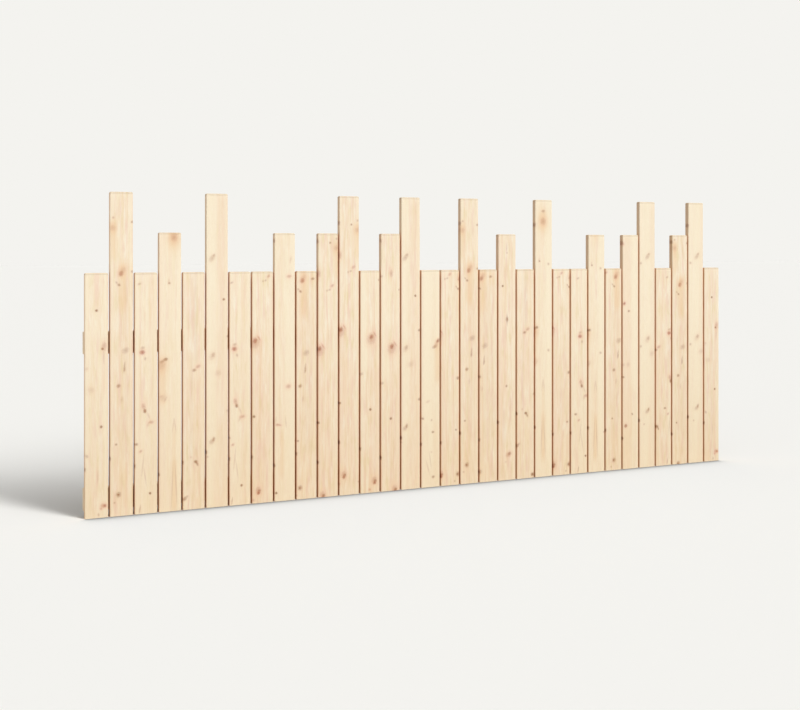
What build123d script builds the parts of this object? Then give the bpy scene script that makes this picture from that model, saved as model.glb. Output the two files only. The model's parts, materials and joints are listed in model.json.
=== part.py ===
from build123d import *
import os

# A slatted headboard. Upright boards of three heights stand side by side on the floor, and two
# flat rails behind them carry them, with one staple driven from behind at every crossing.
# Lengths are in millimetres. X runs along the width, the boards face -Y, the wall is on +Y and
# Z is up. The origin is on the floor, in the middle of the width and of the depth.

# Boards
total_width = 1916
board_width = 56
board_thickness = 15
wanted_gap = 4  # between boards, evened out so that whole boards fill the width
short_height = 600
middle_height = 700
tall_height = 800
height_run = "STSMSTSSMSMTSMTS"  # one letter per board from the left, then again from the start
arris_radius = 2
top_corner_radius = 4
largest_round_share = 0.4  # of the thickness that a rounding takes from each side

# Rails, thicker than the boards and lying flat behind them
rail_width = 55
rail_thickness = 25
rail_arris_radius = 3
lower_rail_lift = 15
upper_rail_drop = 145  # from the top of the short boards down to the rail

# Staples of flat wire, their crowns upright across the grain of the rail
staple_width = 6
wire_width = 1.25
wire_thickness = 1
crown_sink = 0.5  # the crowns lie below the back of the rail, so that it sits flat on the wall
bite_share = 0.7  # of the board's thickness that a staple reaches into
staple_clearance = 0.1

# Keyhole slots in the back of the upper rail, for four screws in the wall
keyhole_head_diameter = 11
keyhole_neck_width = 5.5
keyhole_drop = 14
lip_share = 0.2  # of the rail's thickness, the wood that the wall screw's head hooks behind
keyhole_depth_share = 0.5  # of the rail's thickness
keyhole_place_shares = (0.06, 0.31)  # of the boards, counted inwards from each end

overrun = 2

board_count = round((total_width + wanted_gap) / (board_width + wanted_gap))
board_pitch = (total_width - board_width) / (board_count - 1)
front_y = -(board_thickness + rail_thickness) / 2
joint_y = front_y + board_thickness
back_y = joint_y + rail_thickness
lower_rail_z = lower_rail_lift + rail_width / 2
upper_rail_z = short_height - upper_rail_drop - rail_width / 2
crown_y = back_y - crown_sink
point_y = joint_y - bite_share * board_thickness
first_board_x = (board_width - total_width) / 2
board_places = [first_board_x + number * board_pitch for number in range(board_count)]
heights = {"S": short_height, "M": middle_height, "T": tall_height}


def board(height):
    """Board standing about x = 0: rounded arrises in front, rounded top corners, a square foot."""
    middle_y = (front_y + joint_y) / 2
    rounding = min(arris_radius, largest_round_share * board_thickness)
    section = Pos(0, middle_y) * Rectangle(board_width, board_thickness)
    section = fillet(section.vertices().group_by(Axis.Y)[0], rounding)
    outline = Pos(0, height / 2) * Rectangle(board_width, height)
    outline = fillet(outline.vertices().group_by(Axis.Y)[-1], top_corner_radius)
    side = Pos(middle_y, height / 2) * Rectangle(board_thickness, height)
    side = fillet(side.vertices().group_by(Axis.Y)[-1].sort_by(Axis.X)[0], rounding)
    blank = extrude(section, amount=height)
    blank &= extrude(Plane.XZ.offset(-joint_y) * outline, amount=board_thickness)
    blank &= extrude(Plane.YZ * side, amount=board_width / 2, both=True)
    return blank - [Pos(0, 0, z) * staple_hole() for z in (lower_rail_z, upper_rail_z)]


def rail():
    """Rail about z = 0, its long edges rounded and a staple hole behind each board."""
    rounding = min(rail_arris_radius, largest_round_share * rail_thickness)
    blank = Pos(0, (joint_y + back_y) / 2) * Box(total_width, rail_thickness, rail_width)
    blank = fillet(blank.edges().filter_by(Axis.X), rounding)
    return blank - [Pos(x, 0, 0) * staple_hole() for x in board_places]


def upright_prism(points, width):
    """Solid across x = 0 from points (y, z)."""
    return extrude(Plane.YZ * make_face(Polyline(*points, close=True)), amount=width / 2, both=True)


def staple():
    """Staple about the Y axis, its crown towards the wall and its legs cut to a slant."""
    outside = staple_width / 2
    inside = outside - wire_thickness
    crown = crown_y - wire_thickness
    heel = point_y + wire_thickness
    lower = [(crown, -inside), (heel, -inside), (point_y, -outside), (crown_y, -outside)]
    upper = [(crown_y, outside), (point_y, outside), (heel, inside), (crown, inside)]
    return upright_prism(lower + upper, wire_width)


def staple_hole():
    """Room for a staple: two leg holes that end in the board, and a groove for the crown."""
    outside = staple_width / 2 + staple_clearance
    inside = staple_width / 2 - wire_thickness - staple_clearance
    crown = crown_y - wire_thickness - staple_clearance
    bottom = point_y - staple_clearance
    mouth = back_y + overrun
    lower = [(crown, -inside), (bottom, -inside), (bottom, -outside), (mouth, -outside)]
    upper = [(mouth, outside), (bottom, outside), (bottom, inside), (crown, inside)]
    return upright_prism(lower + upper, wire_width + 2 * staple_clearance)


def keyhole():
    """Keyhole slot about the origin of X and Z: a screw head enters low and hooks behind the lip above."""
    back = Plane.XZ.offset(-back_y)
    entry = Pos(0, -keyhole_drop / 2) * Circle(keyhole_head_diameter / 2)
    neck = SlotCenterToCenter(keyhole_drop, keyhole_neck_width, rotation=90)
    hollow = SlotCenterToCenter(keyhole_drop, keyhole_head_diameter, rotation=90)
    lip = lip_share * rail_thickness
    depth = keyhole_depth_share * rail_thickness
    mouth = extrude(back.offset(-overrun) * (entry + neck), amount=overrun + depth)
    return mouth + extrude(back.offset(lip) * hollow, amount=depth - lip)


def keyhole_places():
    """X of each keyhole, in the gaps between boards, counted inwards from both ends."""
    places = []
    gap = board_pitch - board_width
    for share in keyhole_place_shares:
        place = total_width / 2 - round(share * board_count) * board_pitch + gap / 2
        places += [-place, place]
    return places


os.makedirs("parts", exist_ok=True)

blanks = {height: board(height) for height in heights.values()}
for number, x in enumerate(board_places):
    height = heights[height_run[number % len(height_run)]]
    export_step(Pos(x, 0, 0) * blanks[height], f"parts/board_{number + 1:02d}.step")

lower_rail = Pos(0, 0, lower_rail_z) * rail()
upper_rail = Pos(0, 0, upper_rail_z) * (rail() - [Pos(x, 0, 0) * keyhole() for x in keyhole_places()])
export_step(lower_rail, "parts/lower_rail.step")
export_step(upper_rail, "parts/upper_rail.step")

for name, z in (("lower_rail_staples", lower_rail_z), ("upper_rail_staples", upper_rail_z)):
    row = Compound([Pos(x, 0, z) * staple() for x in board_places])
    export_step(row, f"parts/{name}.step")
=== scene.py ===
"""Slatted pine headboard: the wood, the staples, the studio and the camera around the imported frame."""

import json
import math

import bpy
import numpy as np
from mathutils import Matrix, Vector

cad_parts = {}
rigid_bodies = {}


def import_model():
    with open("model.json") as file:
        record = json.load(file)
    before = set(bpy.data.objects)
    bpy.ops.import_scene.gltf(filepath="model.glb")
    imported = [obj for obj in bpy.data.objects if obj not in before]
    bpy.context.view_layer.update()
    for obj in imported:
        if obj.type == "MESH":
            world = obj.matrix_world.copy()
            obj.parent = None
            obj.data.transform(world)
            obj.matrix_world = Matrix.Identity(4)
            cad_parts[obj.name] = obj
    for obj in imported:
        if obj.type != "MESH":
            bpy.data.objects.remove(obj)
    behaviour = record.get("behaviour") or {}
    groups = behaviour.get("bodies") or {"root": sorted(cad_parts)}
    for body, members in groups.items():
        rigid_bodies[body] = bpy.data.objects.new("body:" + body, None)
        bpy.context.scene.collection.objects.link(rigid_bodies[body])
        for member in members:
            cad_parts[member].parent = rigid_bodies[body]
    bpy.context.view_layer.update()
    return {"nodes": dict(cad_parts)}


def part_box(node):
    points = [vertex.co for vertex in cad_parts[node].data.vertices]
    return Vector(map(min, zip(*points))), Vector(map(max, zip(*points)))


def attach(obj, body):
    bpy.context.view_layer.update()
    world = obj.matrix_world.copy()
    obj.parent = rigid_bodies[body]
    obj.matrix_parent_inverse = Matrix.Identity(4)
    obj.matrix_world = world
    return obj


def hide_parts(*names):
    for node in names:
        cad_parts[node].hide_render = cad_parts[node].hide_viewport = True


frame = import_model()

MM = 0.001  # the frame is in metres, and sizes below are in mm where nothing else is said


def span(node):
    """Lowest and highest corner of a node of the frame, in mm."""
    low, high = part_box(node)
    return np.round(np.array(low) / MM, 2), np.round(np.array(high) / MM, 2)


def srgb(red, green, blue):
    """Linear colour from the usual 0 to 255."""
    return tuple(((c / 255 + 0.055) / 1.055) ** 2.4 for c in (red, green, blue)) + (1.0,)


def smooth(low, high, value):
    """Smooth step from 0 at low to 1 at high."""
    t = np.clip((value - low) / (high - low), 0, 1)
    return t * t * (3 - 2 * t)


# Sizes that the frame gives
BOARDS = sorted(name for name in frame["nodes"] if name.startswith("board_"))
SPANS = {name: span(name) for name in BOARDS}
FIRST_LOW, FIRST_HIGH = SPANS[BOARDS[0]]
FRONT_Y, JOINT_Y = FIRST_LOW[1], FIRST_HIGH[1]
BACK_Y = span("upper_rail")[1][1]
POINT_Y = span("upper_rail_staples")[0][1]
BOARD_WIDTH = FIRST_HIGH[0] - FIRST_LOW[0]
BOARD_THICKNESS = JOINT_Y - FRONT_Y
HALF_WIDTH = SPANS[BOARDS[-1]][1][0]
BOARD_MIDDLES = [(low[0] + high[0]) / 2 for low, high in SPANS.values()]
BOARD_PITCH = BOARD_MIDDLES[1] - BOARD_MIDDLES[0]

# Roundings of the wood
FRONT_ROUND = 2.0
BACK_ROUND = 0.6
TOP_ROUND = 4.0
TOP_SOFTENING = 2.0
RAIL_ROUND = 3.0
END_ARRIS = 0.4

# Fineness of the meshes
BOARD_STEPS = (3, 1, 14, 3)  # in a front arc, in a back arc, across the front and across a side
RAIL_STEPS = (3, 3, 12, 3)
BOARD_ROW = 12.0  # height of a row of faces
RAIL_ROW = 15.0
TOP_TURNS = 6
SHARP_ANGLE = math.radians(40)

# Staples and keyhole slots, which follow the part's source
STAPLE_OUTSIDE = 3.0
WIRE_WIDTH = 1.25
WIRE_THICKNESS = 1.0
WIRE_SOFTENING = 0.22
SHOULDER_BEND = 0.7
SHOULDER_TURNS = 4
CROWN_SINK = 0.5
ROOM = 0.1
KEYHOLE_BOARDS = (2, 10)  # boards between a keyhole and the nearer end
KEYHOLE_HEAD = 11.0
KEYHOLE_NECK = 5.5
KEYHOLE_DROP = 14.0
KEYHOLE_LIP = 5.0
KEYHOLE_DEPTH = 12.5
CUT_OVERRUN = 1.0
CUT_OVERLAP = 0.05
NECK_TURNS = 12
MOUTH_TURNS = 32
SLOT_TURNS = 16

# Wood. Every board is a window on one of the planks below. A knot is (across, along, radius, kind),
# and where it is a smear also its direction in degrees from level and how many times longer it is
# that way. A streak is (across, half width, from, to, tone, strength). All are in mm from the
# plank's left and foot. side is the height of the knot in the plank's left side, and pith is where
# the rings' centre lies and how wide they are.
KINDS = {  # opacity, redness, halo
    "dark": (0.80, 0.20, 0.30),
    "brown": (0.52, 0.35, 0.35),
    "rust": (0.68, 0.70, 0.60),
    "red": (0.66, 1.00, 0.70),
    "rosy": (0.30, 0.95, 0.45),
    "pale": (0.28, 0.45, 0.25),
    "faint": (0.13, 0.65, 0.25),
    "amber": (0.16, 0.60, 0.60),
    "ochre": (0.30, 0.75, 0.60),
    "streak": (0.36, 0.60, 0.05),
    "line": (0.17, 0.80, 0.0),
}
STAINS = {"amber": 0.8, "ochre": 1.9}  # how strongly these kinds colour the wood around them
TONES = {  # shares of the pale, the pink and the amber tint, where less than no pale is grey
    "pale": (1.0, 0.0, 0.0),
    "grey": (-1.0, 0.0, 0.0),
    "pink": (0.0, 1.0, 0.0),
    "amber": (0.0, 0.0, 1.0),
    # edge: a painted highlight along the boards' edges, pale with a little pink
    "edge": (1.1, 0.15, 0.0),
}

PLANKS = {}
PLANKS["A"] = {
    "pith": (95, 40, 3.4),
    "side": 120,
    "knots": [
        (28, 508, 2.6, "dark"), (42, 414, 2.4, "dark"), (46, 420, 4.6, "rosy", 84, 2),
        (45, 394, 1.8, "line", 92, 9), (4, 366, 3, "faint"), (15, 314, 5.5, "faint"),
        (39, 223, 2.6, "dark"), (5, 153, 2.6, "pale", -50, 1.5), (48, 29, 3.2, "red"),
        (42, 29, 3.8, "rosy", 60, 1.3), (39, 22, 2, "rosy"), (33, 8, 2, "pale", 90, 1.5),
        (31, 100, 1.5, "faint", 88, 9),
    ],
    "streaks": [
        (28, 5, 515, 600, "pink", 0.5), (46, 5, 300, 410, "pink", 0.4), (12, 12, 0, 110, "amber", 0.3),
        (30, 3, 0, 600, "grey", 0.15),
    ],
}
PLANKS["P"] = {
    "pith": (-40, 30, 3.0),
    "side": 120,
    "knots": [
        (12, 572, 2.2, "pale", 25, 1.8), (19, 402, 4.3, "red", 10, 1.15), (20, 413, 2.8, "pale", 20, 1.5),
        (26, 386, 2.2, "pale", 95, 1.7), (25, 256, 3, "dark", 95, 1.5), (22, 267, 3.6, "rosy", 105, 1.7),
        (34, 244, 1.8, "faint", 112, 5), (40, 227, 3, "rosy", 8, 1.8), (33, 221, 2.2, "faint", 65, 2.5),
        (4, 174, 2.6, "brown", 0, 1.4), (15, 156, 2.2, "rosy", 40, 1.5), (38, 50, 2.5, "dark"),
        (13, 12, 1.4, "streak", 82, 7), (26, 92, 1.5, "line", 98, 16), (20, 120, 1.5, "line", 84, 20),
    ],
    "streaks": [
        (20, 5, 280, 520, "grey", 0.4), (24, 7, 0, 230, "pale", 0.5), (48, 7, 0, 600, "amber", 0.25),
        (25, 5, 262, 290, "pink", 0.5), (31, 3, 440, 600, "pale", 0.5), (38, 3, 470, 560, "amber", 0.3),
    ],
}
PLANKS["Q"] = {
    "pith": (20, 80, 3.6),
    "side": 120,
    "knots": [
        (29, 352, 3, "brown", 20, 1.4), (39, 361, 3.2, "rosy", 30, 1.6), (33, 120, 3.1, "dark", -15, 1.2),
        (37, 114, 2.2, "brown", -65, 2), (21, 132, 2, "faint"), (4, 28, 3.6, "brown", 20, 1.3),
        (10, 33, 2.2, "pale", 35, 2), (55, -57, 4, "dark"),
    ],
    "streaks": [
        (33, 4, 370, 600, "grey", 0.4), (37, 5, 0, 105, "amber", 0.4), (30, 25, 200, 360, "pink", 0.2),
        (22, 3, 120, 600, "grey", 0.25), (45, 3, 150, 600, "pale", 0.25), (46, 12, 100, 600, "amber", 0.2),
    ],
}
PLANKS["S"] = {
    "pith": (75, 55, 3.2),
    "side": 120,
    "knots": [
        (16, 575, 4, "rust", 70, 1.3), (20, 583, 4.5, "amber", 50, 1.6), (45, 580, 2.8, "brown", 20, 1.3),
        (11, 547, 2.4, "brown", -40, 1.3), (5, 553, 1.8, "pale", -50, 1.6), (27, 385, 5.5, "pale", 35, 1.3),
        (24, 345, 1.7, "streak", 82, 7), (25, 338, 1.5, "streak", 80, 4), (10, 298, 3.4, "brown", 30, 1.1),
        (18, 264, 2.4, "faint", 85, 3), (4, 154, 2.2, "brown"), (10, 30, 4.4, "brown", 70, 1.2),
        (9, 30, 1.8, "dark"), (-3, 713, 2.4, "pale"), (43, 703, 2.4, "brown"), (-4, 688, 5, "amber"),
        (0, 11, 2, "pale"),
    ],
    "streaks": [
        (20, 9, 480, 600, "amber", 0.9), (-2, 7, 610, 705, "amber", 0.9), (18, 22, 0, 120, "amber", 0.3),
        (27, 6, 390, 530, "pink", 0.2), (48, 9, 560, 600, "amber", 0.6), (18, 4, 40, 540, "amber", 0.2),
        (34, 26, 120, 560, "grey", 0.2), (34, 26, 120, 560, "amber", 0.25),
    ],
}
PLANKS["T"] = {
    "pith": (-25, 25, 3.1),
    "side": 120,
    "knots": [
        (44, 588, 2.7, "rosy", 45, 1.6), (36, 577, 1.9, "pale", 25, 1.6), (29, 575, 1.6, "pale", 90, 1.5),
        (8, 421, 3.8, "rust", 65, 1.4), (8, 416, 9, "rosy", 78, 1.35), (18, 428, 1.5, "rosy", -60, 4),
        (5, 225, 2.6, "dark", 80, 1.1), (19, 31, 3, "dark", 60, 1.2), (16, 33, 5.6, "rosy", 80, 1.4),
        (17, 26, 3, "rust"), (3, 9, 2.6, "rosy"), (6, 620, 3.4, "rosy", 92, 2.5), (38, 702, 2.2, "brown"),
        (-21, 322, 3, "pale", 30, 1.3), (-22, 612, 2.4, "pale"),
    ],
    "streaks": [
        (28, 9, 0, 350, "pink", 0.3), (-12, 13, 330, 610, "pale", 0.8), (10, 5, 60, 400, "pink", 0.35),
        (8, 8, 0, 60, "amber", 0.6), (24, 4, 240, 400, "amber", 0.25),
    ],
}
PLANKS["U"] = {
    "pith": (27, 95, 3.8),
    "side": 142,
    "knots": [
        (15, 635, 4.6, "pale", 52, 1.8), (20, 643, 2.4, "pale", 45, 1.3), (45, 530, 2.5, "dark"),
        (15, 385, 5.5, "faint", 58, 1.5), (18, 389, 3.4, "pale", 65, 1.4), (31, 342, 5.5, "faint", 30, 1.2),
        (19, 174, 2.6, "brown", 80, 1.8), (14, 168, 4.4, "pale", 45, 1.4), (3, 130, 2, "pale"),
        (57, 435, 3, "brown"), (57, 245, 3, "brown"), (-9, 615, 3, "pale"), (-9, 365, 3, "pale"),
    ],
    "streaks": [
        (12, 15, 0, 800, "pale", 0.55), (45, 1.6, 540, 800, "grey", 0.6), (41, 12, 0, 800, "pink", 0.3),
        (52, 3, 0, 800, "amber", 0.3), (22, 4, 0, 130, "pink", 0.3),
    ],
}
PLANKS["V"] = {
    "pith": (30, 22, 4.2),
    "side": 94,
    "knots": [
        (38, 688, 6.5, "ochre", 90, 1.25), (38, 718, 1.6, "pale", 0, 3), (26, 573, 2.2, "brown"),
        (25, 579, 1.5, "faint", 85, 2.5), (17, 382, 3, "dark", 20, 1.3), (8, 377, 3, "brown", 40, 1.8),
        (8, 368, 6, "amber", 70, 1.6), (10, 285, 6, "faint", 10, 1.3), (16, 281, 1.5, "faint", 60, 4),
        (6, 290, 1.5, "faint", 20, 3), (33.5, 66, 1.5, "line", 87.7, 36), (43, 66, 1.5, "line", 92.8, 36),
        (36, 216, 1.3, "line", 83, 13), (40.5, 216, 1.3, "line", 97, 13), (39, 717, 4, "pale"),
    ],
    "streaks": [
        (39, 5, 0, 130, "amber", 1.0), (42, 2, 480, 650, "grey", 0.5), (38, 3, 130, 210, "amber", 0.5),
        (3, 8, 0, 800, "pink", 0.3), (28, 12, 0, 800, "amber", 0.12), (60, 9, 0, 800, "pale", 0.6),
        (9, 8, 270, 380, "amber", 0.8), (21, 4, 400, 700, "grey", 0.25),
    ],
}
PLANKS["N"] = {
    "pith": (60, 30, 3.5),
    "side": 94,
    "knots": [
        (40, 587, 3.2, "rosy", 0, 1.5), (38, 299, 3.8, "rosy", 10, 1.4), (7, 200, 2.4, "rosy", 0, 1.2),
        (13, 199, 1.8, "rosy", -10, 2.6), (5, 22, 2.6, "dark"), (4, 212, 1.4, "line", 85, 7),
        (31, 205, 1.4, "line", 95, 10), (44, 630, 2, "faint", 80, 4),
    ],
    "streaks": [
        (42, 15, 0, 700, "pale", 0.55), (20, 5, 60, 180, "amber", 0.8), (12, 12, 150, 700, "amber", 0.12),
        (40, 6, 575, 600, "pink", 0.4), (38, 6, 285, 310, "pink", 0.3), (40, 5, 640, 700, "grey", 0.4),
    ],
}
PLANKS["L"] = {
    "pith": (-10, 28, 3.9),
    "side": 120,
    "knots": [
        (41, 388, 3.4, "brown", 25, 1.8), (50, 404, 3, "rust", 60, 1.7), (46, 395, 3, "amber", 50, 2),
        (20, 237, 2.2, "faint", 20, 2.6), (4, 191, 2.5, "brown", -35, 1.4), (31, 185, 1.8, "pale", 80, 1.4),
        (35, 152, 2.5, "brown", 0, 1.3), (30, 97, 2, "faint"), (36, 28, 2.8, "brown", 20, 1.3),
        (20, 55, 1.5, "line", 105, 14), (27, 75, 1.5, "line", 98, 14),
    ],
    "streaks": [
        (10, 15, 180, 600, "pale", 0.55), (50, 8, 290, 395, "amber", 1.0), (28, 6, 60, 200, "pale", 0.4),
        (44, 6, 0, 180, "amber", 0.4),
    ],
}
PLANKS["K"] = {
    "pith": (110, 20, 3.0),
    "side": 92,
    "knots": [
        (2, 672, 2.6, "rosy"), (6, 495, 3.1, "red", 55, 1.3), (22, 472, 2.5, "brown", 0, 1.2),
        (3, 312, 3.5, "faint"), (20, 312, 4, "faint", 80, 1.5), (3, 275, 2.6, "brown"),
        (34, 163, 2.2, "brown", -60, 1.4), (11, 129, 3.7, "rust", 55, 1.15),
    ],
    "streaks": [
        (46, 13, 240, 700, "pale", 0.6), (12, 16, 120, 700, "pink", 0.4), (14, 14, 0, 120, "amber", 0.6),
        (30, 3, 100, 240, "amber", 0.5),
    ],
}
PLANKS["G"] = {
    "pith": (40, 60, 3.3),
    "side": 166,
    "knots": [
        (27, 662, 1.5, "line", 88, 8), (28, 647, 1.8, "pale"), (14, 553, 2.5, "dark"),
        (28, 458, 3.2, "brown", 90, 1.9), (28, 458, 1.8, "streak", 90, 9), (26, 268, 2.6, "brown", 90, 1.1),
        (36, 75, 3.4, "brown", 30, 1.2), (32, 72, 5, "rosy", 30, 1.3), (24, 52, 2.4, "faint"),
    ],
    "streaks": [
        (8, 9, 0, 700, "pink", 0.3), (20, 6, 480, 620, "amber", 0.3), (18, 6, 100, 200, "grey", 0.3),
        (38, 4, 0, 60, "pink", 0.3),
    ],
}

# Board: (plank, shift across, shift along), and a second plank where one shows at the edge
WINDOWS = {
    1: [("A", 0, 0)], 2: [("S", 11, 23)], 3: [("P", 0, 0)], 4: [("V", 0, 0)], 5: [("Q", 0, 0)],
    6: [("U", 0, 0)], 7: [("P", -6, 0)], 8: [("T", 0, 0)], 9: [("N", 0, 0)], 10: [("S", 0, 0)],
    11: [("T", -4, -27), ("S", 55, -27)], 12: [("T", -4, 22), ("S", 55, 22)], 13: [("T", 24, 0)],
    14: [("T", 24, -28)], 15: [("U", -3, 0)], 16: [("L", 0, 0)], 17: [("T", -17, 0), ("S", 42, 0)],
    18: [("S", 10, 23)], 19: [("S", -10, 0)], 20: [("G", 0, 0)], 21: [("Q", -4, 67), ("P", 53, 67)],
    22: [("V", -12, 50), ("U", 53, 0)], 23: [("T", -16, 0), ("S", 43, 0)], 24: [("P", 12, 0)],
    25: [("V", -14, 37), ("U", 51, -14)], 26: [("S", 19, 0), ("T", -42, 0)], 27: [("K", 0, 0)],
    28: [("U", 14, 0)], 29: [("P", 29, 0), ("Q", -29, 0)], 30: [("S", 12, -27)], 31: [("U", 17, 0)],
    32: [("A", 1, 0)],
}
# How much paler than the others these boards are
LIGHT_SHARES = {
    1: 0.4, 3: 0.4, 4: 0.8, 6: 0.55, 7: 0.4, 9: 0.5, 15: 0.4,
    16: 0.95, 22: 0.85, 24: 0.4, 25: 0.75, 27: 0.7, 28: 0.6, 31: 0.6,
}
# Height of the knot near the top of a board's left side, where one shows
TOP_SIDE_KNOTS = {9: 680, 11: 679, 12: 728, 14: 681, 18: 730, 22: 728, 27: 677, 30: 679, 31: 730}
SIDE_KNOT = (-1.5, 3.0, "dark", 90, 1.5)  # across, radius, kind, direction, stretch
TOP_SIDE_KNOT = (-2.5, 3.6, "brown", 90, 1.4)
NO_SMEAR = (0, 1)
# Painted highlight: a pale streak this far in from each edge of every board stands for the light on its
# arris
EDGE_HIGHLIGHT_INSET = 5.5
EDGE_HIGHLIGHT = (2.5, -50, 900, "edge", 1.0)  # painted highlight along both edges, longer than any board
BOARD_SEED = 37.0  # shift of the noises from one board to the next

# Wood of the rails. chance is the seed of their knots, and seed the shift of their noises
RAILS = {
    "lower_rail": {"pith": (30, 30, 3.4), "seed": 500.0, "chance": 11},
    "upper_rail": {"pith": (-30, 30, 3.4), "seed": 590.0, "chance": 12},
}
RAIL_STREAKS = [
    (20, 9, -900, 250, "pink", 0.4),
    (40, 9, -300, 900, "pale", 0.5),
    (8, 6, 200, 900, "amber", 0.4),
]
RAIL_KNOT_COUNT = 15
RAIL_KNOT_KINDS = ("dark", "pale", "red", "brown", "rosy")
RAIL_KNOT_PLACES = (0.1, 0.9)  # within each knot's share of the length
RAIL_KNOT_ACROSS = (3, 52)
RAIL_KNOT_RADII = (2.2, 6.5)
RAIL_KNOT_TILTS = (-50, 50)
RAIL_KNOT_STRETCH = 1.3

# How knots and streaks are laid out
SLOTS = "abc"  # nearest knots that each face keeps
FAR_KNOT = (-900, -900, 1, 0, 1, 0, 1, 0, 0, 0)
KNOT_SPREAD = 1.22
SMEAR_SHARE = 0.8
KNOT_LEAN = 0.22  # most that a knot leans sideways as it goes deeper
LEAN_TURN = 1.7
STAIN_SHARES = (2, 4)  # reach of a stain across and along, in radii of its knot
STREAK_CORE_SHARE = 0.3
STREAK_EDGE_SHARE = 1.7
STREAK_EDGE = 1
STREAK_FADE = 15
END_GRAIN = (0.55, 0.95)  # how far a face turns towards an end before it shows end grain

# Shade of the gaps, the arrises and the foot
GAP_SHADE = (1.0, 12.0)  # depth in which the shade of a gap grows
ARRIS_SHADE = 0.6
EDGE_SHADE = 0.2
EDGE_SHADE_WIDTH = 3.0
RAIL_SHADE = 0.1
RAIL_SHADE_DEPTH = 2.0
RAIL_FOOT_TONE = 0.4
NEIGHBOUR_TOP = (-2, 28)  # how far below the neighbour's top a side goes into shade
FOOT_TONE = (-150, 620)

# Where the rings run
WANDER_RATE = 0.0035
WANDER = 26.0
SWAY_RATE = 0.0025
SWAY = 14.0
RIPPLE = 7.0
UNEVEN_RATE = 0.55
UNEVEN = 1.1
LATE_RISE = (0.3, 0.86)
LATE_FALL = (0.9, 1.0)
WEAKEST_RING = 0.2

# Noises of the grain: steps per mm across it and along it, shift by the board's seed, and detail
GRAIN = {
    "ripple": (0.09, 0.0055, 1.0, 2.0),
    "pores": (2.4, 0.11, 1.0, 1.0),
    "broad": (0.11, 0.0024, 1.0, 2.0),
    "narrow": (0.33, 0.0045, -1.0, 2.0),
    "cloud": (0.09, 0.011, -2.0, 2.0),
    "patch": (0.12, 0.018, 3.0, 3.0),
}
FIBRE_SCALE = 1.6
FIBRE_STRETCH = 0.035
FIBRE_DETAIL = 3.0
KNOT_NOISE_SCALE = 0.28
PORE_RANGE = (0.62, 0.72)

# Colours of the wood, and of the painted shade at its feet, tops, open sides and gaps
EARLY_WOOD = srgb(251, 237, 213)
LATE_WOOD = srgb(234, 203, 160)
LATE_SHARE = 0.44
END_LATE_SHARE = 0.31
LAYERS = {  # tints that the noises bring: range in which they rise, share and colour
    "broad": ((0.42, 0.72), 0.6, srgb(245, 216, 190)),
    "narrow": ((0.43, 0.70), 0.42, srgb(242, 222, 176)),
    "cloud": ((0.48, 0.70), 0.55, srgb(240, 207, 188)),
    "patch": ((0.50, 0.72), 0.55, srgb(234, 216, 166)),
}
LIGHT_PATCH = ((0.30, 0.48), 0.6, srgb(253, 245, 226))
PALE_TINT = (0.75, srgb(252, 240, 213))
GREY_TINT = (0.6, srgb(226, 210, 192))
PINK_TINT = (0.5, srgb(242, 202, 176))
AMBER_TINT = (0.38, srgb(240, 202, 152))
FIBRE_TINT = (0.5, 0.1, srgb(222, 186, 146))  # share of the fibres, least share, colour
PORE_TINT = (0.18, srgb(206, 166, 124))
# Painted shade: boards darker towards their feet, and rails evenly a little darker
FOOT_SHADE = srgb(242, 236, 228)
END_GRAIN_SHARE = 0.4
END_GRAIN_COLOUR = srgb(246, 230, 208)
TOP_EDGE = (2.0, 7.0)  # depth below the top in which its shade fades
TOP_EDGE_COLOUR = srgb(231, 229, 225)
# Painted shade: a warmer tone on a board's side where it stands above its neighbours
OPEN_SIDE_SHADE = srgb(255, 236, 222)
GAP_RANGE = (5.0, 14.0)
GAP_COLOURS = (srgb(232, 182, 144), srgb(218, 176, 142))  # painted shade near the front, and deep in the gap

# Knots: ranges are distances from the middle in radii, and colours come in pairs, brown and red
KNOT_ROUGHNESS = 0.9
FLOW_SQUASH = 0.25
FLOW_LEAST = 0.001
FLOW_RANGE = (1.4, 4.2)
CORE_RANGE = (0.25, 1.6)
RIM_PLACE = 0.85
RIM_RANGE = (0.0, 0.3)
HEART_RANGE = (0.1, 0.6)
HALO_RANGE = (0.6, 3.0)
HALO_COLOURS = (srgb(228, 200, 162), srgb(238, 186, 156))
CORE_COLOURS = (srgb(154, 112, 62), srgb(186, 98, 72))
HEART_COLOURS = (srgb(112, 66, 34), srgb(140, 62, 48))
HALO_SHARE = 0.5
HEART_SHARE = 0.3
RIM_TINT = (0.15, srgb(160, 106, 74))
RING_TINT = (0.2, srgb(134, 84, 56))
RING_RATE = 14.0

# Gloss and relief of the wood
WOOD_ROUGHNESS = {"plain": 0.56, "fibre": 0.2, "late": 0.08, "core": 0.12, "end": 0.15}
WOOD_RELIEF = {"late": 0.45, "fibre": 0.5, "pores": 0.35, "rims": 0.5, "core": 0.3}
WOOD_BUMP = {"Strength": 0.5, "Distance": 0.00025}
WOOD_SPECULAR = 0.35

# Galvanised wire, with noise steps per metre
DRAWN_RATES = (9000.0, 350.0)  # across the wire, along it
SPANGLE_RATE = 700.0
SPANGLE_DETAIL = 3.0
SPANGLE_COLOURS = (srgb(176, 178, 182), srgb(214, 215, 217))
WIRE_ROUGHNESS = {"plain": 0.26, "drawn": 0.2, "spangle": 0.1}
WIRE_BUMP = {"Strength": 0.3, "Distance": 0.00003}

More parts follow.
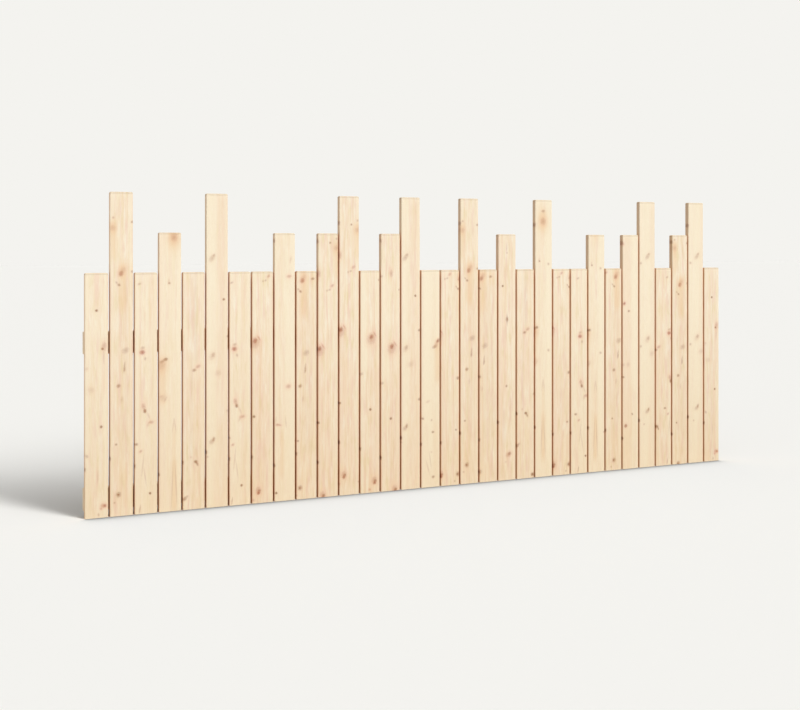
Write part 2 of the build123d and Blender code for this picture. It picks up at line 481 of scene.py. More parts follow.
# Studio. Shares of light add up to about 1, so that colours come out as written
BACKGROUND = srgb(244, 243, 239)
AMBIENT = 0.44
LEAN_LEFT = 0.02  # how much lighter the studio is on the left than in the middle
LEAN_FRONT = 0.16
FLOOR_SIZE = 40.0  # metres, from the middle to an edge
FLOOR_BOUNCE = (0.45, 0.45, 0.44, 1.0)
FLOOR_GLOW = (0.53, 0.37, 0.18)  # what the boards' front throws on the floor at their feet
GLOW_HEIGHT = 0.66  # metres, of the part of the front that throws it
# Painted contact shadow on the floor in front of the boards' feet
CONTACT_DARKNESS = 0.80
CONTACT_REACH = 0.017
CONTACT_EDGE = 0.0002
LEAST_AHEAD = 0.0001
SUNS = {27: 0.08, 35: 0.12, 45: 0.173, 58: 0.11, 72: 0.075}  # degrees above the floor: share of the light
SUN_WAY = (-0.527, 0.850)
SUN_SPREAD = 16
SUN_DISTANCE = 3
SIDE_LIGHT = 4.0  # watts, a soft lamp that only the headboard sees, beside its left end
SIDE_PLACE = (-2.2, -0.04, 0.28)
SIDE_SIZE = 0.6

# Camera, in metres and degrees
CAMERA_PLACE = (-1.32846, -2.82782, 0.66276)
CAMERA_TURN = 23.253
SENSOR_WIDTH = 36.0
FOCAL_LENGTH = 50.345
SHIFT_UP = -0.1345
VIEW_END = 200.0


# meshes
def arc(centre, radius, start, stop, count):
    """Points from one direction to another, in degrees, in count steps."""
    turns = np.radians(np.linspace(start, stop, count + 1))
    return [(centre[0] + radius * math.cos(t), centre[1] + radius * math.sin(t)) for t in turns]


def bridge(start, count, stop):
    """Two arcs and a straight stretch in count steps between them."""
    a, b = start[-1], stop[0]
    return start + [tuple(np.add(a, np.subtract(b, a) * k / count)) for k in range(1, count)] + stop


def section(half, front, back, front_round, back_round, steps):
    """Four sides of a rounded oblong, each from corner to corner, as points (across, deep)."""
    front_steps, back_steps, flat, side = steps
    front_left = (-half + front_round, front + front_round)
    front_right = (half - front_round, front + front_round)
    back_right = (half - back_round, back - back_round)
    back_left = (-half + back_round, back - back_round)

    def front_arc(centre, start):
        return arc(centre, front_round, start, start + 45, front_steps)

    def back_arc(centre, start):
        return arc(centre, back_round, start, start + 45, back_steps)

    behind = flat + 2 * (front_steps - back_steps)
    return [
        bridge(front_arc(front_left, 225), flat, front_arc(front_right, 270)),
        bridge(front_arc(front_right, 315), side, back_arc(back_right, 0)),
        bridge(back_arc(back_right, 45), behind, back_arc(back_left, 90)),
        bridge(back_arc(back_left, 135), side, front_arc(front_left, 180)),
    ]


def tube(rows, ring):
    """Faces between rows of points, each a closed ring."""
    faces = []
    for row in range(rows - 1):
        for k in range(ring):
            a, b = row * ring + k, row * ring + (k + 1) % ring
            faces.append((a, b, b + ring, a + ring))
    return faces


def inner_point(points, grid, i, j):
    """Point inside a grid, worked out from the grid's four sides."""
    wide, deep = grid.shape[0] - 1, grid.shape[1] - 1
    s, t = i / wide, j / deep

    def at(m, n):
        return np.array(points[grid[m, n]])

    flat = (1 - t) * at(i, 0) + t * at(i, deep) + (1 - s) * at(0, j) + s * at(wide, j)
    flat -= (1 - s) * (1 - t) * at(0, 0) + s * (1 - t) * at(wide, 0)
    flat -= (1 - s) * t * at(0, deep) + s * t * at(wide, deep)
    return tuple(flat)


def end_faces(points, first, wide, deep, top):
    """Faces that close a bar at the ring that starts at first. Their inner points are added to points."""
    grid = np.zeros((wide + 1, deep + 1), int)
    grid[:, 0] = first + np.arange(wide + 1)
    grid[wide, :] = first + wide + np.arange(deep + 1)
    grid[::-1, deep] = first + wide + deep + np.arange(wide + 1)
    grid[0, :] = first + (2 * (wide + deep) - np.arange(deep + 1)) % (2 * (wide + deep))
    for i in range(1, wide):
        for j in range(1, deep):
            grid[i, j] = len(points)
            points.append(inner_point(points, grid, i, j))
    faces = []
    for i in range(wide):
        for j in range(deep):
            quad = (grid[i, j], grid[i + 1, j], grid[i + 1, j + 1], grid[i, j + 1])
            faces.append(quad if top else quad[::-1])
    return faces


def stick(half, depth, front_round, back_round, rows, steps):
    """Closed mesh of a long rounded bar, as points (across, deep, along) in mm and faces.

    A row is (along, inset across, inset in front, inset behind).
    """
    points = []
    for along, across, front, behind in rows:
        sides = section(
            half - across,
            front,
            depth - behind,
            max(front_round - max(across, front), END_ARRIS),
            max(back_round - max(across, behind), END_ARRIS / 2),
            steps,
        )
        points += [(p[0], p[1], along) for side in sides for p in side[:-1]]
    wide, deep = len(sides[0]) - 1, len(sides[1]) - 1
    ring = 2 * (wide + deep)
    faces = tube(len(rows), ring)
    faces += end_faces(points, 0, wide, deep, False)
    faces += end_faces(points, (len(rows) - 1) * ring, wide, deep, True)
    return np.array(points, float), faces


def join_meshes(parts):
    """Points and faces of several meshes as one."""
    points, faces = [], []
    for more, sides in parts:
        faces += [tuple(k + len(points) for k in side) for side in sides]
        points += list(more)
    return np.array(points, float), faces


def prism(outline, front, back):
    """Points and faces of a prism. Its outline (x, z) runs anticlockwise seen from the front."""
    count = len(outline)
    points = [(x, front, z) for x, z in outline] + [(x, back, z) for x, z in outline]
    faces = [tuple(range(count)), tuple(range(2 * count - 1, count - 1, -1))]
    faces += [(k, k + count, (k + 1) % count + count, (k + 1) % count) for k in range(count)]
    return points, faces


def add_object(name, data):
    obj = bpy.data.objects.new(name, data)
    bpy.context.scene.collection.objects.link(obj)
    return obj


def add_mesh(name, points, faces):
    """Object from points in metres, shaded smooth except at sharp edges."""
    mesh = bpy.data.meshes.new(name)
    mesh.from_pydata([tuple(p) for p in points], [], [tuple(int(k) for k in f) for f in faces])
    mesh.validate()
    mesh.polygons.foreach_set("use_smooth", [True] * len(mesh.polygons))
    mesh.set_sharp_from_angle(angle=SHARP_ANGLE)
    return add_object(name, mesh)


def cut(obj, parts):
    """Cuts the parts out of the object's mesh."""
    points, faces = join_meshes(parts)
    cutter = add_mesh("cutter", points * MM, faces)
    change = obj.modifiers.new("cut", "BOOLEAN")
    change.operation = "DIFFERENCE"
    change.solver = "EXACT"
    change.object = cutter
    graph = bpy.context.evaluated_depsgraph_get()
    mesh = bpy.data.meshes.new_from_object(obj.evaluated_get(graph))
    mesh.set_sharp_from_angle(angle=SHARP_ANGLE)
    obj.modifiers.clear()
    obj.data = mesh
    bpy.data.objects.remove(cutter)


# wood on the meshes
def read(items, field, width=1, kind=float):
    """One field of all vertices, loops or polygons of a mesh."""
    values = np.empty(len(items) * width, kind)
    items.foreach_get(field, values)
    return values.reshape(-1, width) if width > 1 else values


def tints(wood, local):
    """Shares of the pale, pink and amber tint at each point, from streaks and stained knots."""
    tint = np.zeros((len(local), 3))
    tint[:, 0] = wood["light"]
    across, along = local[:, 0], local[:, 2]
    for place, half, low, high, tone, strength in wood["streaks"]:
        edge = half * STREAK_EDGE_SHARE + STREAK_EDGE
        inside = 1 - smooth(half * STREAK_CORE_SHARE, edge, np.abs(across - place))
        starts = smooth(low - STREAK_FADE, low + STREAK_FADE, along)
        inside *= starts * (1 - smooth(high - STREAK_FADE, high + STREAK_FADE, along))
        tint += np.outer(inside * strength, TONES[tone])
    for place, height, radius, kind, *smear in wood["knots"]:
        if kind in STAINS:
            wide, tall = (share * radius * KNOT_SPREAD for share in STAIN_SHARES)
            reach = ((across - place) / wide) ** 2 + ((along - height) / tall) ** 2
            tint += np.outer(np.exp(-reach) * STAINS[kind], TONES["amber"])
    return tint


def knot_rows(knots):
    """Table of knots: place, radius, lean, direction, stretch and kind. The first lie far off the wood."""
    rows = [FAR_KNOT] * len(SLOTS)
    for across, height, radius, kind, tilt, stretch in knots:
        lean = KNOT_LEAN * math.sin(across * LEAN_TURN + height)
        turn = math.radians(tilt)
        longer = 1 + (stretch - 1) * SMEAR_SHARE
        shape = (radius * KNOT_SPREAD, lean, math.cos(turn), math.sin(turn), longer)
        rows.append((across, height, *shape, *KINDS[kind]))
    return np.array(rows, float)


def offsets(rows, points):
    """Across and along from each row's knot to a point, where the knot leans as it goes deeper."""
    du = points[..., 0] - rows[..., 0] - rows[..., 3] * points[..., 1]
    return du, points[..., 2] - rows[..., 1]


def nearest_knots(table, middles):
    """Numbers of the nearest knots of each face, measured in their own radii."""
    du, dz = offsets(table[None], middles[:, None])
    lengthwise = (du * table[:, 4] + dz * table[:, 5]) / table[:, 6]
    sideways = dz * table[:, 4] - du * table[:, 5]
    return np.argsort((lengthwise**2 + sideways**2) / table[:, 2] ** 2, axis=1)[:, : len(SLOTS)]


def write_wood(obj, to_plank, wood, shade):
    """Stores on the mesh where each corner lies in its plank, its nearest knots and its tones.

    wood holds the plank's knots, streaks, pith, lightness and seed. shade gives each point's foot tone, how
    deep in a gap and how far on an open side it lies, all from 0 to 1, and how many mm it is below the top.
    """
    mesh = obj.data
    count = len(mesh.vertices)
    local = to_plank(read(mesh.vertices, "co", 3) / MM)
    place = local[read(mesh.loops, "vertex_index", kind=int)]
    totals = read(mesh.polygons, "loop_total", kind=int)
    owner = np.repeat(np.arange(len(totals)), totals)
    middles = np.zeros((len(totals), 3))
    np.add.at(middles, owner, place)
    middles /= totals[:, None]
    normals = to_plank(read(mesh.polygons, "normal", 3)) - to_plank(np.zeros((1, 3)))

    def store(name, domain, values):
        kind, field = ("FLOAT", "value") if values.ndim == 1 else ("FLOAT_VECTOR", "vector")
        layer = mesh.attributes.new(name, kind, domain)
        layer.data.foreach_set(field, np.ascontiguousarray(values, float).ravel())

    table = knot_rows(wood["knots"])
    near = nearest_knots(table, middles)
    for slot, letter in enumerate(SLOTS):
        own = table[near[:, slot]][owner]
        du, dz = offsets(own, place)
        store("knot_" + letter, "CORNER", np.stack([du, dz, own[:, 2]], -1))
        store("turn_" + letter, "CORNER", own[:, 4:7])
        store("kind_" + letter, "CORNER", own[:, 7:10])
    foot, gap, open_side, below_top = shade(local)
    store("wood", "POINT", local)
    store("tint", "POINT", tints(wood, local))
    store("pith", "POINT", np.tile(np.array(wood["pith"], float), (count, 1)))
    store("board", "POINT", np.stack([foot, np.full(count, wood["seed"]), gap], -1))
    store("below_top", "POINT", below_top)
    store("open_side", "POINT", open_side)
    store("end_grain", "CORNER", smooth(*END_GRAIN, np.abs(normals[:, 2]))[owner])


# materials
class Wire:
    """A node's output that can be written in sums."""

    def __init__(self, graph, socket):
        self.graph = graph
        self.socket = socket


def add_sign(sign, operation):
    """Lets wires be joined by a sign, with each other and with numbers."""
    setattr(Wire, f"__{sign}__", lambda wire, other: wire.graph.math(operation, wire, other))
    setattr(Wire, f"__r{sign}__", lambda wire, other: wire.graph.math(operation, other, wire))


for sign, operation in (("add", "ADD"), ("sub", "SUBTRACT"), ("mul", "MULTIPLY"), ("truediv", "DIVIDE")):
    add_sign(sign, operation)


class Graph:
    """Node tree of one material or world. Kinds of nodes are named without ShaderNode."""

    def __init__(self, owner):
        owner.use_nodes = True
        self.tree = owner.node_tree
        self.tree.nodes.clear()

    def fill(self, socket, value):
        if isinstance(value, Wire):
            self.tree.links.new(value.socket, socket)
        elif value is not None:
            socket.default_value = value

    def node(self, kind, inputs=(), output=0, **settings):
        made = self.tree.nodes.new("ShaderNode" + kind)
        for key, value in settings.items():
            setattr(made, key, value)
        for key, value in dict(inputs).items():
            self.fill(made.inputs[key], value)
        return Wire(self, made.outputs[output]) if made.outputs else None

    def math(self, operation, a, b=None, clamp=False):
        return self.node("Math", {0: a, 1: b}, operation=operation, use_clamp=clamp)

    def attribute(self, name):
        return self.node("Attribute", output="Vector", attribute_name=name)

    def number(self, name):
        return self.node("Attribute", output="Fac", attribute_name=name)

    def split(self, vector):
        made = self.node("SeparateXYZ", {0: vector}).socket.node
        return [Wire(self, out) for out in made.outputs]

    def join(self, x, y, z):
        return self.node("CombineXYZ", {0: x, 1: y, 2: z})

    def noise(self, vector, scale=1.0, detail=2.0):
        return self.node("TexNoise", {"Vector": vector, "Scale": scale, "Detail": detail})

    def line_noise(self, place):
        inputs = {"W": place, "Scale": 1.0, "Detail": 1.0}
        return self.node("TexNoise", inputs, noise_dimensions="1D")

    def step(self, low, high, value):
        inputs = {"Value": value, "From Min": low, "From Max": high}
        return self.node("MapRange", inputs, interpolation_type="SMOOTHSTEP")

    def mix(self, share, a, b, blend="MIX"):
        """Colour from a to b. Its sockets go by number, because other kinds of data share their names."""
        return self.node("Mix", {0: share, 6: a, 7: b}, 2, data_type="RGBA", blend_type=blend)

    def finish(self, kind, inputs, output="OutputMaterial"):
        """The shader, linked to the tree's output."""
        self.node(output, {"Surface": self.node(kind, inputs)})


def knot_field(g, letter, rough):
    """Grain shift, core, rim, heart, halo and colour share of one of the knots stored on the mesh."""
    dx, dz, radius = g.split(g.attribute("knot_" + letter))
    opacity, red, halo = g.split(g.attribute("kind_" + letter))
    level, rise, stretch = g.split(g.attribute("turn_" + letter))
    lengthwise = (dx * level + dz * rise) / stretch
    sideways = dz * level - dx * rise
    flow = g.math("SQRT", dx * dx + dz * dz * FLOW_SQUASH) / radius
    near = g.math("SQRT", lengthwise * lengthwise + sideways * sideways) / radius
    near = near + (rough - 0.5) * KNOT_ROUGHNESS
    push = g.math("MINIMUM", 1.0, 1.0 / (flow * flow + FLOW_LEAST))
    window = 1.0 - g.step(*FLOW_RANGE, flow)
    return {
        "shift": dx * push * window * opacity,
        "core": (1.0 - g.step(*CORE_RANGE, near)) * opacity,
        "rim": (1.0 - g.step(*RIM_RANGE, g.math("ABSOLUTE", near - RIM_PLACE))) * opacity,
        "heart": (1.0 - g.step(*HEART_RANGE, near)) * opacity,
        "halo": (1.0 - g.step(*HALO_RANGE, near)) * halo,
        "red": red,
        "near": near,
    }


def knotted(g, colour, knot):
    """The colour with one knot painted over it: halo, core with rings, rim and heart."""
    colour = g.mix(knot["halo"] * HALO_SHARE, colour, g.mix(knot["red"], *HALO_COLOURS))
    rings = g.math("SINE", knot["near"] * RING_RATE) * 0.5 + 0.5
    core = g.mix(rings * RING_TINT[0], g.mix(knot["red"], *CORE_COLOURS), RING_TINT[1])
    colour = g.mix(knot["core"], colour, core)
    colour = g.mix(knot["rim"] * RIM_TINT[0], colour, RIM_TINT[1])
    return g.mix(knot["heart"] * HEART_SHARE, colour, g.mix(knot["red"], *HEART_COLOURS))


def late_wood(g, radius, seed):
    """Dark part of each yearly ring, stronger in some than in others. radius is in ring widths."""
    turn = radius + g.line_noise(radius * UNEVEN_RATE + seed) * UNEVEN
    year = g.math("FRACT", turn)
    chance = g.node("TexWhiteNoise", {"W": g.math("FLOOR", turn)}, noise_dimensions="1D")
    strong = chance * (1 - WEAKEST_RING) + WEAKEST_RING
    return g.step(*LATE_RISE, year) * (1.0 - g.step(*LATE_FALL, year)) * strong


def pine(name):
    """Planed pine: rings round a pith, fibres, soft streaks and knots, with painted shade and a painted
    edge highlight, from what write_wood stores.
    """
    material = bpy.data.materials.new(name)
    g = Graph(material)
    x, y, z = g.split(g.attribute("wood"))
    pith_x, pith_y, spacing = g.split(g.attribute("pith"))
    foot, seed, gap = g.split(g.attribute("board"))
    pale, pink, amber = g.split(g.attribute("tint"))
    end = g.number("end_grain")
    rough = g.noise(g.join(x, y, z), KNOT_NOISE_SCALE)
    knots = [knot_field(g, letter, rough) for letter in SLOTS]
    bent = x
    for knot in knots:
        bent = bent - knot["shift"]

    def grain(noise):
        across, along, shift, detail = GRAIN[noise]
        return g.noise(g.join(bent * across + seed * shift, y * across, z * along), 1.0, detail)

    across = bent - pith_x + (g.line_noise(z * WANDER_RATE + seed) - 0.5) * WANDER
    deep = y + pith_y + (g.line_noise(z * SWAY_RATE - seed) - 0.5) * SWAY
    radius = g.math("SQRT", across * across + deep * deep) + (grain("ripple") - 0.5) * RIPPLE
    late = late_wood(g, radius / spacing, seed)
    fibre = g.noise(g.join(bent + seed, y, z * FIBRE_STRETCH), FIBRE_SCALE, FIBRE_DETAIL)
    pores = g.step(*PORE_RANGE, grain("pores"))
    noises = {layer: grain(layer) for layer in LAYERS}

    colour = g.mix(late * (LATE_SHARE + end * END_LATE_SHARE), EARLY_WOOD, LATE_WOOD)
    for layer, (rise, share, tone) in LAYERS.items():
        colour = g.mix(g.step(*rise, noises[layer]) * share, colour, tone)
    rise, share, tone = LIGHT_PATCH
    colour = g.mix((1.0 - g.step(*rise, noises["patch"])) * share, colour, tone)
    tints = ((pale, PALE_TINT), (0.0 - pale, GREY_TINT), (pink, PINK_TINT), (amber, AMBER_TINT))
    for amount, (share, tone) in tints:
        colour = g.mix(g.math("MULTIPLY", amount, share, True), colour, tone)
    share, least, tone = FIBRE_TINT
    colour = g.mix((fibre - 0.5) * share + least, colour, tone)
    share, tone = PORE_TINT
    colour = g.mix(pores * share, colour, tone)
    for knot in knots:
        colour = knotted(g, colour, knot)
    # Painted shade: darker at the feet, grey along the tops, warmer on the open sides and darker in the
    # gaps. The end grain tone is the wood's own.
    top = 1.0 - g.step(*TOP_EDGE, g.number("below_top"))
    shades = (
        (foot, FOOT_SHADE),
        (end * END_GRAIN_SHARE, END_GRAIN_COLOUR),
        (top, TOP_EDGE_COLOUR),
        (g.number("open_side"), OPEN_SIDE_SHADE),
        (gap, g.mix(g.step(*GAP_RANGE, y), *GAP_COLOURS)),
    )
    for share, tone in shades:
        colour = g.mix(share, colour, tone, "MULTIPLY")

    core, rims = knots[0]["core"], knots[0]["rim"]
    for knot in knots[1:]:
        core = core + knot["core"]
        rims = rims + knot["rim"]
    part = WOOD_ROUGHNESS
    roughness = part["plain"] + (fibre - 0.5) * part["fibre"] - late * part["late"]
    roughness = roughness - core * part["core"] + end * part["end"]
    part = WOOD_RELIEF
    height = late * part["late"] + fibre * part["fibre"] - pores * part["pores"]
    height = height - rims * part["rims"] + core * part["core"]
    normal = g.node("Bump", {**WOOD_BUMP, "Height": height})
    inputs = {"Base Color": colour, "Specular IOR Level": WOOD_SPECULAR}
    g.finish("BsdfPrincipled", {**inputs, "Roughness": roughness, "Normal": normal})
    return material


def steel(name):
    """Galvanised wire: fine drawn lines and dull spangle."""
    material = bpy.data.materials.new(name)
    g = Graph(material)
    x, y, z = g.split(g.node("TexCoord", output="Object"))
    across, along = DRAWN_RATES
    drawn = g.noise(g.join(x * across, y * along, z * along))
    spangle = g.noise(g.join(x * SPANGLE_RATE, y * SPANGLE_RATE, z * SPANGLE_RATE), 1.0, SPANGLE_DETAIL)
    colour = g.mix(spangle, *SPANGLE_COLOURS)
    part = WIRE_ROUGHNESS
    roughness = part["plain"] + drawn * part["drawn"] + spangle * part["spangle"]
    normal = g.node("Bump", {**WIRE_BUMP, "Height": drawn})
    inputs = {"Base Color": colour, "Metallic": 1.0}
    g.finish("BsdfPrincipled", {**inputs, "Roughness": roughness, "Normal": normal})
    return material


PINE = pine("pine")
STEEL = steel("staple_wire")


# boards
def board_rows(height):
    """Rows of a board from its foot up, closing over the rounded top."""
    rows = [(0.0, END_ARRIS, END_ARRIS, END_ARRIS), (END_ARRIS, 0.0, 0.0, 0.0)]
    straight = height - TOP_ROUND - END_ARRIS
    count = round(straight / BOARD_ROW)
    rows += [(END_ARRIS + straight * k / count, 0.0, 0.0, 0.0) for k in range(1, count + 1)]
    for k in range(1, TOP_TURNS + 1):
        turn = math.pi / 2 * k / TOP_TURNS
        fall = 1 - math.cos(turn)
        along = height - TOP_ROUND * (1 - math.sin(turn))
        rows.append((along, TOP_ROUND * fall, TOP_SOFTENING * fall, BACK_ROUND * fall))
    return rows


def board_wood(number):
    """Knots, streaks, rings and lightness of a board, from the planks that its window shows."""
    knots, streaks = [], []
    for plank, across, along in WINDOWS[number]:
        for u, v, radius, kind, *smear in PLANKS[plank]["knots"]:
            knots.append((u + across, v + along, radius, kind, *(smear or NO_SMEAR)))
        for u, half, low, high, tone, strength in PLANKS[plank]["streaks"]:
            streaks.append((u + across, half, low + along, high + along, tone, strength))
    plank, across, along = WINDOWS[number][0]
    place, *rest = SIDE_KNOT
    knots.append((place, PLANKS[plank]["side"] + along, *rest))
    if number in TOP_SIDE_KNOTS:
        place, *rest = TOP_SIDE_KNOT
        knots.append((place, TOP_SIDE_KNOTS[number], *rest))
    # painted highlight near both edges
    streaks += [(place, *EDGE_HIGHLIGHT) for place in (EDGE_HIGHLIGHT_INSET, BOARD_WIDTH - EDGE_HIGHLIGHT_INSET)]
    pith_x, pith_y, ring_width = PLANKS[plank]["pith"]
    return {
        "knots": knots,
        "streaks": streaks,
        "pith": (pith_x + across, pith_y, ring_width),
        "light": LIGHT_SHARES.get(number, 0.0),
        "seed": BOARD_SEED * number,
    }


def board_shade(beside, height):
    """Painted shade of a board: foot tone, gaps as far up as the boards beside it reach, open sides above
    them, and height left.
    """

    def shade(local):
        across, deep, along = local.T
        inward = np.minimum(across, BOARD_WIDTH - across)
        side = inward < FRONT_ROUND
        arris = smooth(0.0, FRONT_ROUND, deep)
        edge = EDGE_SHADE * (1 - smooth(0.0, EDGE_SHADE_WIDTH, inward))
        turned = ARRIS_SHADE * arris + (1 - ARRIS_SHADE) * smooth(*GAP_SHADE, deep)
        turned = np.maximum(turned * side, edge)
        reach = np.where(across < BOARD_WIDTH / 2, beside[0], beside[1])
        covered = smooth(*NEIGHBOUR_TOP, reach - along)
        return 1 - smooth(*FOOT_TONE, along), turned * covered, arris * side * (1 - covered), height - along

    return shade


def add_board(number, name):
    """Board in the place of its node."""
    low, high = SPANS[name]
    rows = board_rows(high[2])
    points, faces = stick(BOARD_WIDTH / 2, BOARD_THICKNESS, FRONT_ROUND, BACK_ROUND, rows, BOARD_STEPS)
    board = add_mesh(name + "_wood", (points + (BOARD_MIDDLES[number - 1], FRONT_Y, 0.0)) * MM, faces)

    def to_plank(places):
        return places - (low[0], FRONT_Y, 0.0)

    beside = [SPANS[BOARDS[k]][1][2] if 0 <= k < len(BOARDS) else 0.0 for k in (number - 2, number)]
    write_wood(board, to_plank, board_wood(number), board_shade(beside, high[2]))
    board.data.materials.append(PINE)
    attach(board, "root")
    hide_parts(name)


for number, name in enumerate(BOARDS, 1):
    add_board(number, name)


# rails
def keyhole_places():
    """X of each keyhole, in the gaps between boards, counted inwards from both ends."""
    gap = BOARD_PITCH - BOARD_WIDTH
    places = [HALF_WIDTH - count * BOARD_PITCH + gap / 2 for count in KEYHOLE_BOARDS]
    return sorted([-place for place in places] + places)


def keyhole_outline(x, low, high):
    """Round mouth below, narrow neck above."""
    mouth, neck = KEYHOLE_HEAD / 2, KEYHOLE_NECK / 2
    turn = math.degrees(math.asin(neck / mouth))
    top = arc((x, high), neck, 0, 180, NECK_TURNS)
    return top + arc((x, low), mouth, 90 + turn, 450 - turn, MOUTH_TURNS)


def slot_outline(x, low, high, radius):
    return arc((x, high), radius, 0, 180, SLOT_TURNS) + arc((x, low), radius, 180, 360, SLOT_TURNS)


def keyhole_cutters(z):
    """Mouths through the lips of the keyhole slots about height z, and the hollows behind the lips."""
    low, high = z - KEYHOLE_DROP / 2, z + KEYHOLE_DROP / 2
    lip = BACK_Y - KEYHOLE_LIP
    mouths, hollows = [], []
    for x in keyhole_places():
        mouths.append(prism(keyhole_outline(x, low, high), lip - CUT_OVERLAP, BACK_Y + CUT_OVERRUN))
        hollows.append(prism(slot_outline(x, low, high, KEYHOLE_HEAD / 2), BACK_Y - KEYHOLE_DEPTH, lip))
    return mouths, hollows


def groove_cutters(z):
    """Grooves for the crowns of a row of staples at height z."""
    low, high = z - STAPLE_OUTSIDE - ROOM, z + STAPLE_OUTSIDE + ROOM
    half = WIRE_WIDTH / 2 + ROOM
    bottom = BACK_Y - CROWN_SINK - WIRE_THICKNESS - ROOM
    cutters = []
    for x in BOARD_MIDDLES:
        outline = [(x - half, low), (x + half, low), (x + half, high), (x - half, high)]
        cutters.append(prism(outline, bottom, BACK_Y + CUT_OVERRUN))
    return cutters


def rail_rows():
    """Rows of a rail from its left end to its right."""
    straight = 2 * (HALF_WIDTH - END_ARRIS)
    count = round(straight / RAIL_ROW)
    rows = [(-HALF_WIDTH, END_ARRIS, END_ARRIS, END_ARRIS)]
    rows += [(-HALF_WIDTH + END_ARRIS + straight * k / count, 0.0, 0.0, 0.0) for k in range(count + 1)]
    return rows + [(HALF_WIDTH, END_ARRIS, END_ARRIS, END_ARRIS)]


def rail_knots(seed):
    """Knots spread along a rail."""
    chance = np.random.default_rng(seed)
    knots = []
    for k in range(RAIL_KNOT_COUNT):
        along = HALF_WIDTH * (2 * (k + chance.uniform(*RAIL_KNOT_PLACES)) / RAIL_KNOT_COUNT - 1)
        kind = RAIL_KNOT_KINDS[chance.integers(len(RAIL_KNOT_KINDS))]
        across = chance.uniform(*RAIL_KNOT_ACROSS)
        radius = chance.uniform(*RAIL_KNOT_RADII)
        knots.append((across, along, radius, kind, chance.uniform(*RAIL_KNOT_TILTS), RAIL_KNOT_STRETCH))
    return knots


def rail_shade(local):
    """Shade of a rail: an even tone, and a little more on the face that looks into the gaps."""
    count = len(local)
    depth = BACK_Y - JOINT_Y
    gap = RAIL_SHADE * smooth(depth - RAIL_SHADE_DEPTH, depth, local[:, 1])
    return np.full(count, RAIL_FOOT_TONE), gap, np.zeros(count), np.full(count, 2 * HALF_WIDTH)


def add_rail(name):
    """Rail in the place of its node, with its grooves and, in the upper one, its keyhole slots."""
    low, high = span(name)
    middle, half = (low[2] + high[2]) / 2, (high[2] - low[2]) / 2
    points, faces = stick(half, high[1] - low[1], RAIL_ROUND, RAIL_ROUND, rail_rows(), RAIL_STEPS)
    across, deep, along = points.T
    rail = add_mesh(name + "_wood", np.stack([along, BACK_Y - deep, middle + across], -1) * MM, faces)
    cut(rail, groove_cutters(middle))
    if name == "upper_rail":
        for cutters in keyhole_cutters(middle):
            cut(rail, cutters)

    def to_plank(places):
        return np.stack([places[:, 2] - low[2], BACK_Y - places[:, 1], places[:, 0]], -1)

    look = RAILS[name]
    wood = {
        "knots": rail_knots(look["chance"]),
        "streaks": RAIL_STREAKS,
        "pith": look["pith"],
        "light": 0.0,
        "seed": look["seed"],
    }
    write_wood(rail, to_plank, wood, rail_shade)
    rail.data.materials.append(PINE)
    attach(rail, "root")
    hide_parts(name)


for name in RAILS:
    add_rail(name)


# staples
def staple(x, z):
    """One staple of flat wire with bent shoulders and slanted points."""
    thick, wide = WIRE_THICKNESS / 2, WIRE_WIDTH / 2
    leg = STAPLE_OUTSIDE - thick
    crown = BACK_Y - CROWN_SINK - thick
    path = [(POINT_Y, leg, 0.0)]
    for k in range(SHOULDER_TURNS + 1):
        turn = math.pi / 2 * k / SHOULDER_TURNS
        y = crown - SHOULDER_BEND + SHOULDER_BEND * math.sin(turn)
        path.append((y, leg - SHOULDER_BEND + SHOULDER_BEND * math.cos(turn), turn))
    path += [(y, -across, math.pi - turn) for y, across, turn in path[::-1]]
    outline = []
    for sx, sy in ((1, 1), (-1, 1), (-1, -1), (1, -1)):
        corner = [(sx * wide, sy * (thick - WIRE_SOFTENING)), (sx * (wide - WIRE_SOFTENING), sy * thick)]
        outline += corner if sx * sy > 0 else corner[::-1]
    points = []
    for number, (y, across, turn) in enumerate(path):
        pointed = number in (0, len(path) - 1)
        for side, out in outline:
            slant = thick - out if pointed else 0.0
            points.append((x + side, y + slant + out * math.sin(turn), z + across + out * math.cos(turn)))
    ring = len(outline)
    faces = tube(len(path), ring)
    faces.append(tuple(range(ring))[::-1])
    faces.append(tuple(range((len(path) - 1) * ring, len(path) * ring)))
    return points, faces


def add_staples(name):
    """The row of staples in a rail, in the place of its node."""
    low, high = span(name)
    points, faces = join_meshes([staple(x, (low[2] + high[2]) / 2) for x in BOARD_MIDDLES])
    wire = add_mesh(name + "_staples_wire", points * MM, faces)
    wire.data.materials.append(STEEL)
    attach(wire, "root")
    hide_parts(name + "_staples")


for name in RAILS:
    add_staples(name)


# floor, world, lamps and camera
def floor_paint():
    """Pale floor with painted shade that evens out the boards' warm bounce, and a painted contact shadow
    where the boards stand on it.
    """
    paint = bpy.data.materials.new("floor")
    g = Graph(paint)
    x, y, _ = g.split(g.node("NewGeometry", output="Position"))
    before = FRONT_Y * MM - y
    ahead = g.math("MAXIMUM", before, LEAST_AHEAD)
    square = ahead * ahead
    right, left = HALF_WIDTH * MM - x, HALF_WIDTH * MM + x
    facing = right / g.math("SQRT", right * right + square) + left / g.math("SQRT", left * left + square)
    facing = facing * g.step(0.0, CONTACT_EDGE, before) * 0.5
    share = (1.0 - ahead / g.math("SQRT", square + GLOW_HEIGHT * GLOW_HEIGHT)) * facing * 0.5
    # painted contact shadow in front of the boards
    contact_shadow = 1.0 - g.math("EXPONENT", ahead / -CONTACT_REACH) * facing * CONTACT_DARKNESS
    evened = [value * contact_shadow / (1.0 + share * glow) for value, glow in zip(BACKGROUND, FLOOR_GLOW)]
    seen = g.node("LightPath", output="Is Camera Ray")
    g.finish("BsdfDiffuse", {"Color": g.mix(seen, FLOOR_BOUNCE, g.join(*evened))})
    return paint


def add_floor():
    size = FLOOR_SIZE
    corners = [(-size, -size, 0), (size, -size, 0), (size, size, 0), (-size, size, 0)]
    floor = add_mesh("floor", corners, [(0, 1, 2, 3)])
    floor.data.materials.append(floor_paint())
    return floor


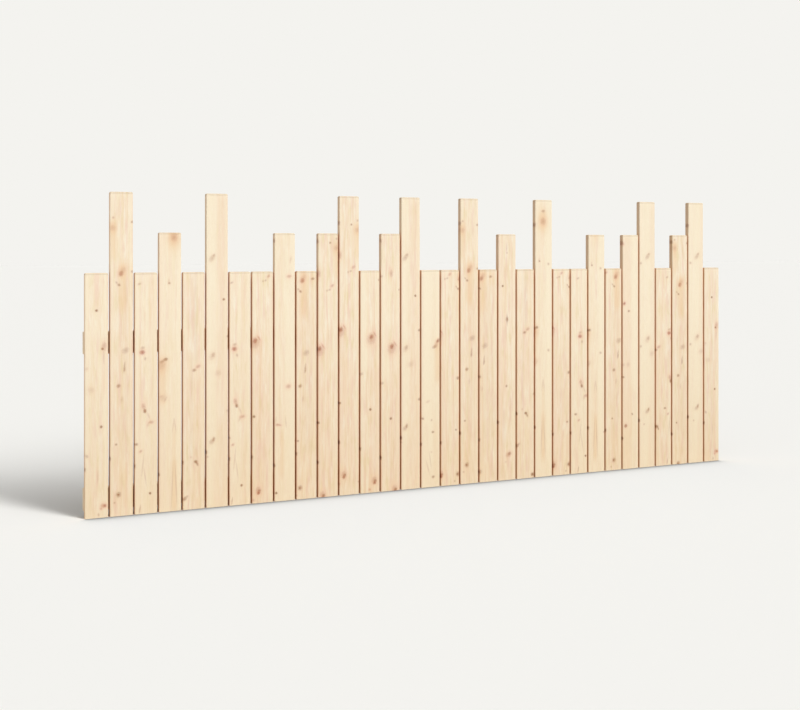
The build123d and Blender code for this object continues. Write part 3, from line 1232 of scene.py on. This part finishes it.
def studio():
    """Even studio that the camera and gloss see as the pale background."""
    world = bpy.data.worlds.new("studio")
    g = Graph(world)
    rays = ("Is Camera Ray", "Is Glossy Ray", "Is Transmission Ray")
    seen, gloss, through = [g.node("LightPath", output=ray) for ray in rays]
    seen = g.math("MAXIMUM", g.math("MAXIMUM", seen, gloss), through)
    x, y, _ = g.split(g.node("TexCoord", output="Generated"))
    level = AMBIENT - x * LEAN_LEFT - y * LEAN_FRONT
    tone = g.mix(seen, g.join(level, level, level), BACKGROUND)
    g.finish("Background", {"Color": tone, "Strength": 1.0}, "OutputWorld")
    return world


def add_suns():
    """Suns one above the other, which together throw one soft shadow."""
    for elevation, share in SUNS.items():
        rise = math.radians(elevation)
        lamp = bpy.data.lights.new(f"sun_{elevation}", "SUN")
        lamp.energy = math.pi * share / math.sin(rise)
        lamp.angle = math.radians(SUN_SPREAD)
        sun = add_object(f"sun_{elevation}", lamp)
        way = Vector((SUN_WAY[0] * math.cos(rise), SUN_WAY[1] * math.cos(rise), -math.sin(rise)))
        sun.rotation_euler = way.to_track_quat("-Z", "Y").to_euler()
        sun.location = -SUN_DISTANCE * way


def add_side_light(floor):
    """Soft lamp that lights every piece but the floor."""
    lamp = bpy.data.lights.new("side_light", "AREA")
    lamp.shape = "DISK"
    lamp.size = SIDE_SIZE
    lamp.energy = SIDE_LIGHT
    side_light = add_object("side_light", lamp)
    side_light.location = SIDE_PLACE
    side_light.rotation_euler = (0.0, -math.pi / 2, 0.0)
    lit = bpy.data.collections.new("lit_from_the_side")
    for obj in bpy.context.scene.objects:
        if obj.type == "MESH" and obj is not floor:
            lit.objects.link(obj)
    side_light.light_linking.receiver_collection = lit


def add_camera():
    lens = bpy.data.cameras.new("camera")
    lens.sensor_width = SENSOR_WIDTH
    lens.lens = FOCAL_LENGTH
    lens.shift_y = SHIFT_UP
    lens.clip_end = VIEW_END
    camera = add_object("camera", lens)
    camera.location = CAMERA_PLACE
    camera.rotation_euler = (math.pi / 2, 0.0, -math.radians(CAMERA_TURN))
    bpy.context.scene.camera = camera


floor = add_floor()
bpy.context.scene.world = studio()
add_suns()
add_side_light(floor)
add_camera()
bpy.context.scene.view_settings.view_transform = "Standard"
